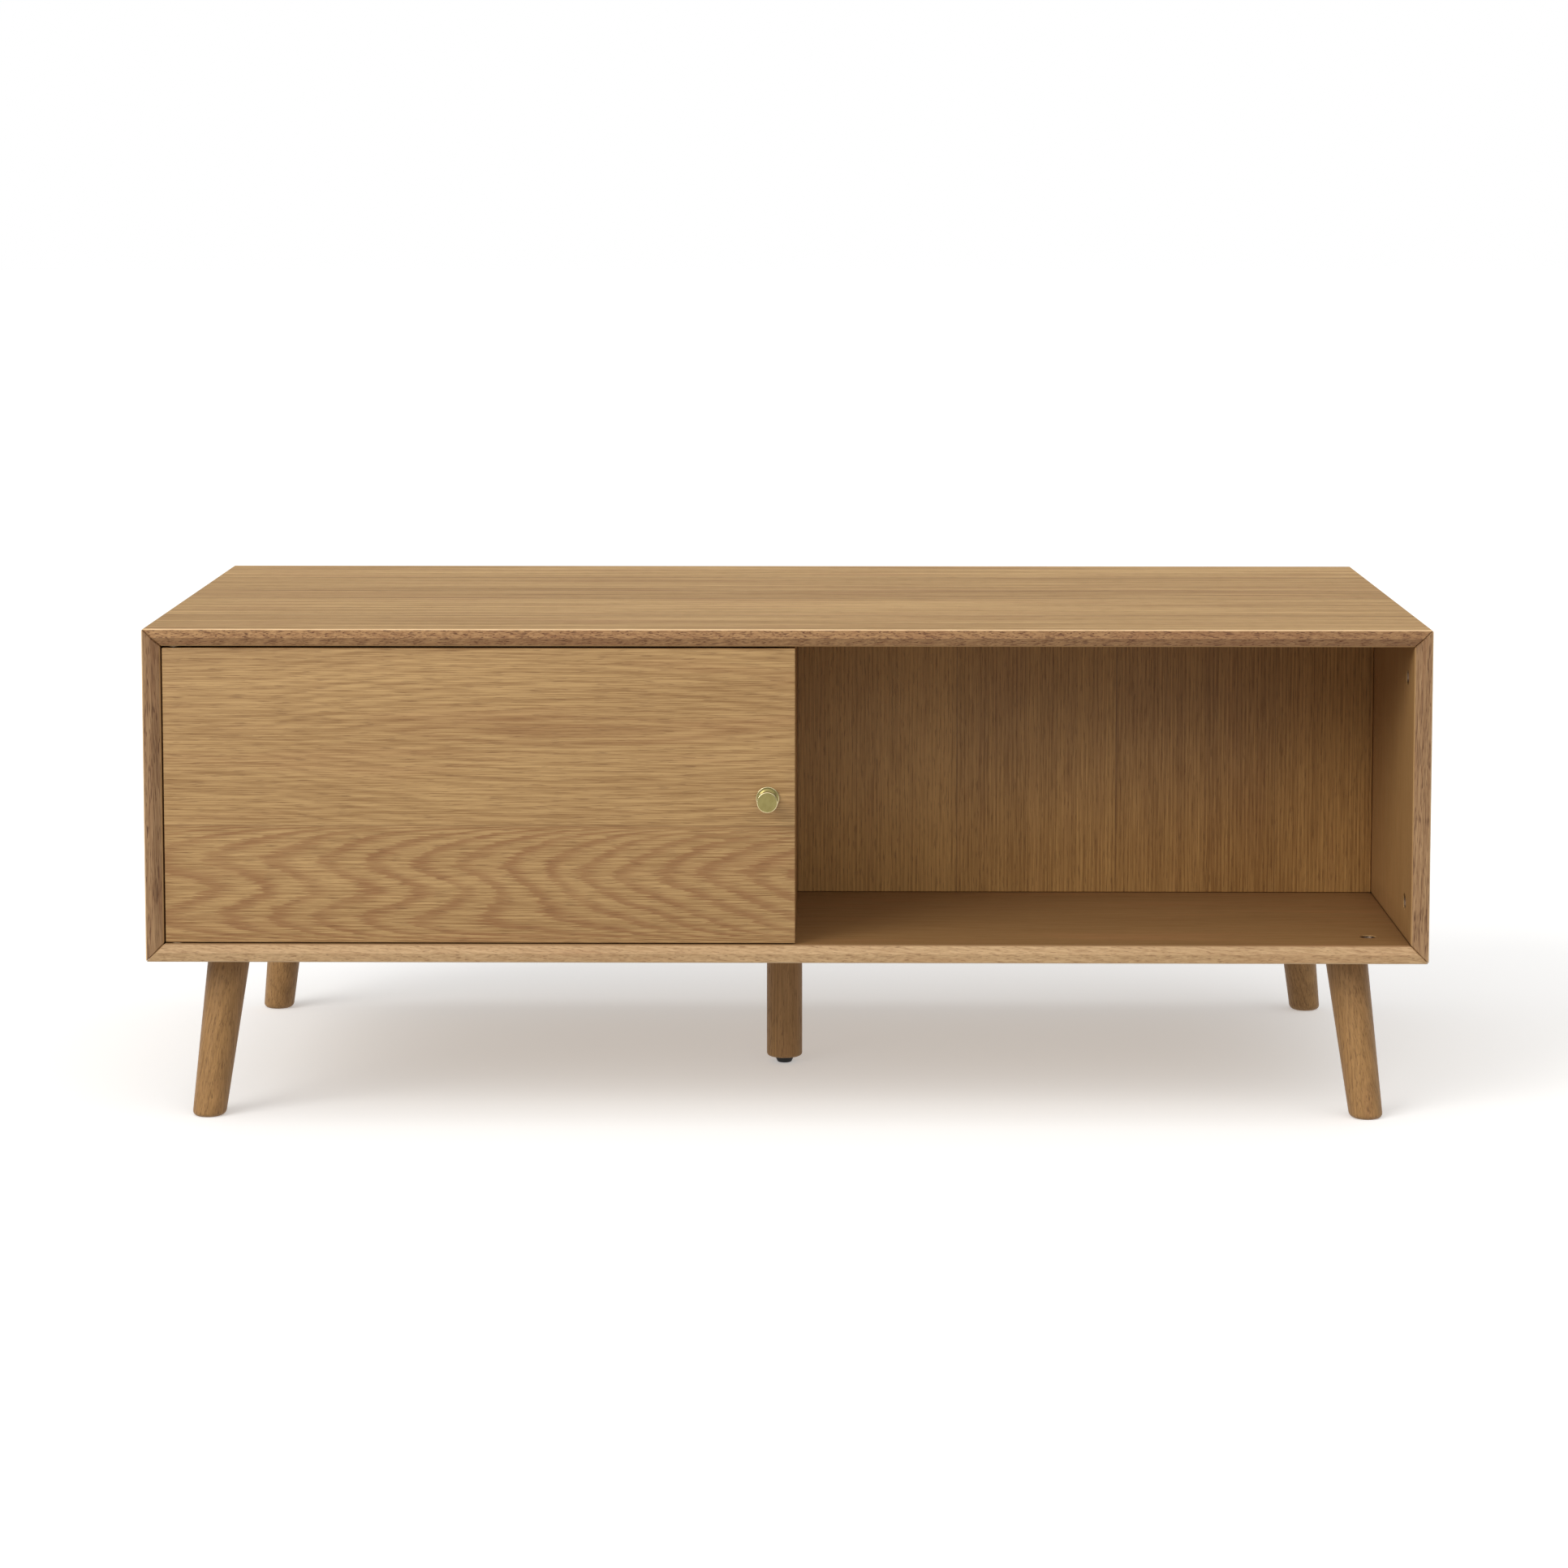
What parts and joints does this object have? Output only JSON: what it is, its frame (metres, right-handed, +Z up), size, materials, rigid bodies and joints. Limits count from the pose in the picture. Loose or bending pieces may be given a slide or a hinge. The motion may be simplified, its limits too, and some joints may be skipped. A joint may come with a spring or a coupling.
{
  "type": "low storage unit with inset doors",
  "caption": "Low oak box unit on splayed round legs, open to front and rear, with an inset hinged door and an open compartment on each face.",
  "frame": {"origin": "on the floor, under the middle of the case in plan", "axes": "+X along the case, to the right seen from the front; the front with the left-hand door faces -Y; +Z up"},
  "size_m": [1.2, 0.6434, 0.471],
  "materials": {
    "oak_veneer": "satin lacquered oak veneer",
    "oak_veneer_door": "satin lacquered oak veneer, figured",
    "oak_lipping": "satin lacquered solid oak",
    "oak_leg": "satin lacquered solid oak, turned",
    "brass": "satin brushed",
    "steel": "zinc plated",
    "zinc": "die-cast zinc, dull",
    "black_plastic": "matt",
    "white_plastic": "nylon, matt"
  },
  "bodies": {
    "case": {"top_panel": "oak_veneer", "bottom_panel": "oak_veneer", "left_side_panel": "oak_veneer", "right_side_panel": "oak_veneer", "front_top_lipping": "oak_lipping", "front_bottom_lipping": "oak_lipping", "front_left_lipping": "oak_lipping", "front_right_lipping": "oak_lipping", "rear_top_lipping": "oak_lipping", "rear_bottom_lipping": "oak_lipping", "rear_left_lipping": "oak_lipping", "rear_right_lipping": "oak_lipping", "partition": "oak_veneer", "front_divider": "oak_veneer", "rear_divider": "oak_veneer", "cam_top_front_left": "zinc", "cam_top_front_right": "zinc", "cam_top_rear_left": "zinc", "cam_top_rear_right": "zinc", "cam_bottom_front_left": "zinc", "cam_bottom_front_right": "zinc", "cam_bottom_rear_left": "zinc", "cam_bottom_rear_right": "zinc", "cam_left_front_lower": "zinc", "cam_left_front_upper": "zinc", "cam_left_rear_lower": "zinc", "cam_left_rear_upper": "zinc", "cam_right_front_lower": "zinc", "cam_right_front_upper": "zinc", "cam_right_rear_lower": "zinc", "cam_right_rear_upper": "zinc", "front_left_leg": "oak_leg", "front_right_leg": "oak_leg", "rear_left_leg": "oak_leg", "rear_right_leg": "oak_leg", "centre_leg": "oak_leg", "front_left_leg_bolt": "steel", "front_right_leg_bolt": "steel", "rear_left_leg_bolt": "steel", "rear_right_leg_bolt": "steel", "centre_leg_bolt": "steel", "front_door_bush_top": "white_plastic", "front_door_bush_bottom": "white_plastic", "rear_door_bush_top": "white_plastic", "rear_door_bush_bottom": "white_plastic", "front_catch_magnet": "zinc", "rear_catch_magnet": "zinc"},
    "front_door": {"front_door": "oak_veneer_door", "front_knob": "brass", "front_knob_screw": "steel", "front_door_pin_top": "steel", "front_door_pin_bottom": "steel", "front_strike_disc": "steel"},
    "rear_door": {"rear_door": "oak_veneer_door", "rear_knob": "brass", "rear_knob_screw": "steel", "rear_door_pin_top": "steel", "rear_door_pin_bottom": "steel", "rear_strike_disc": "steel"},
    "levelling_foot": {"levelling_foot": "black_plastic"}
  },
  "joints": [
    {"name": "front_door_hinge", "type": "hinge", "parent": "case", "child": "front_door", "pos_m": [-0.5715, -0.289, 0.3135], "axis": [0, 0, -1], "range_deg": [0, 110]},
    {"name": "rear_door_hinge", "type": "hinge", "parent": "case", "child": "rear_door", "pos_m": [0.5715, 0.289, 0.3135], "axis": [0, 0, -1], "range_deg": [0, 110]},
    {"name": "levelling_foot_screw", "type": "slide", "parent": "case", "child": "levelling_foot", "axis": [0, 0, -1], "range_m": [0, 0.01]}
  ]
}
